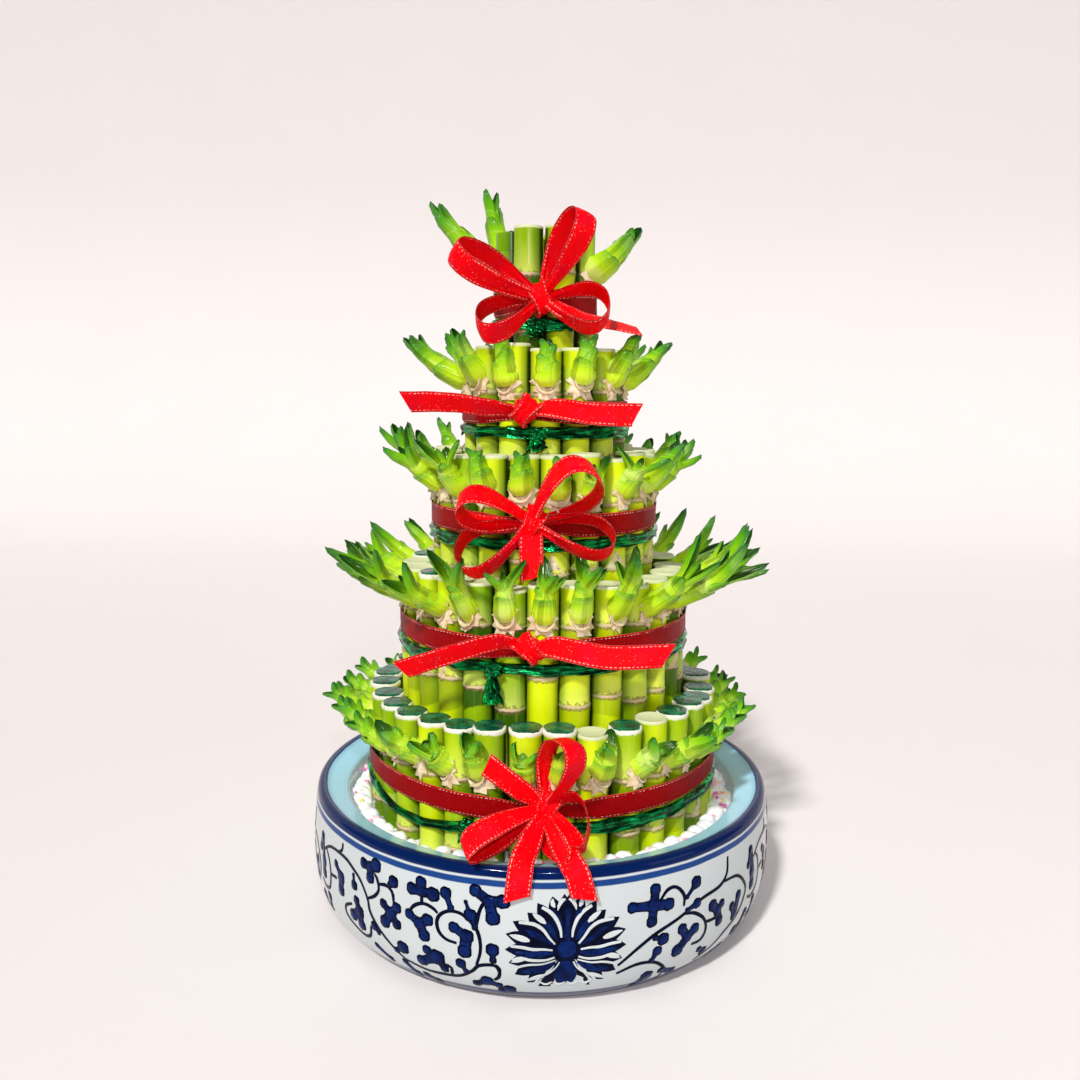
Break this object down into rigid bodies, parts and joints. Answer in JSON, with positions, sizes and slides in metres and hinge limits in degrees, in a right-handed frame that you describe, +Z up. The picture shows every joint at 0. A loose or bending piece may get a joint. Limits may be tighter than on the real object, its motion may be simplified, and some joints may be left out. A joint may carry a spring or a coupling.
{
  "type": "lucky bamboo tower in a bowl",
  "caption": "Lucky bamboo: cut canes tied in stepped rings with red ribbons, in pebbles in a blue and white bowl.",
  "frame": {"origin": "middle of the bowl's foot, on the surface the bowl stands on", "axes": "+Z up along the tower; the bows are at the front, towards -Y; +X is to the right seen from the front"},
  "size_m": [0.206, 0.208, 0.3154],
  "materials": {
    "porcelain": "glossy white glaze, navy rim lines and lotus scroll, pale blue inner lip, bare foot",
    "pebbles": "polished white pebbles with a few pink and yellow chips",
    "cane": "smooth fresh yellow-green cane with pale leaf scars, dark green sealed tops and green shoots",
    "ribbon": "red satin with stitched, glittering edges",
    "foil": "crushed green metallic foil"
  },
  "bodies": {
    "root": {"bowl": "porcelain", "pebble_bed": "pebbles", "tier1_canes_01": "cane", "tier1_canes_02": "cane", "tier1_canes_03": "cane", "tier1_canes_04": "cane", "tier1_canes_05": "cane", "tier1_canes_06": "cane", "tier1_canes_07": "cane", "tier1_canes_08": "cane", "tier1_canes_09": "cane", "tier1_canes_10": "cane", "tier1_canes_11": "cane", "tier1_ribbon": "ribbon", "tier1_foil_tie": "foil", "tier2_canes_01": "cane", "tier2_canes_02": "cane", "tier2_canes_03": "cane", "tier2_canes_04": "cane", "tier2_canes_05": "cane", "tier2_canes_06": "cane", "tier2_canes_07": "cane", "tier2_canes_08": "cane", "tier2_canes_09": "cane", "tier2_ribbon": "ribbon", "tier2_foil_tie": "foil", "tier3_canes_01": "cane", "tier3_canes_02": "cane", "tier3_canes_03": "cane", "tier3_canes_04": "cane", "tier3_canes_05": "cane", "tier3_canes_06": "cane", "tier3_canes_07": "cane", "tier3_ribbon": "ribbon", "tier3_foil_tie": "foil", "tier4_canes_01": "cane", "tier4_canes_02": "cane", "tier4_canes_03": "cane", "tier4_canes_04": "cane", "tier4_canes_05": "cane", "tier4_canes_06": "cane", "tier4_canes_07": "cane", "tier4_ribbon": "ribbon", "tier4_foil_tie": "foil", "tier5_canes_01": "cane", "tier5_canes_02": "cane", "tier5_canes_03": "cane", "tier5_canes_04": "cane", "tier5_canes_05": "cane", "tier5_canes_06": "cane", "tier5_canes_07": "cane", "tier5_ribbon": "ribbon", "tier5_foil_tie": "foil", "core_cane": "cane"}
  },
  "joints": []
}
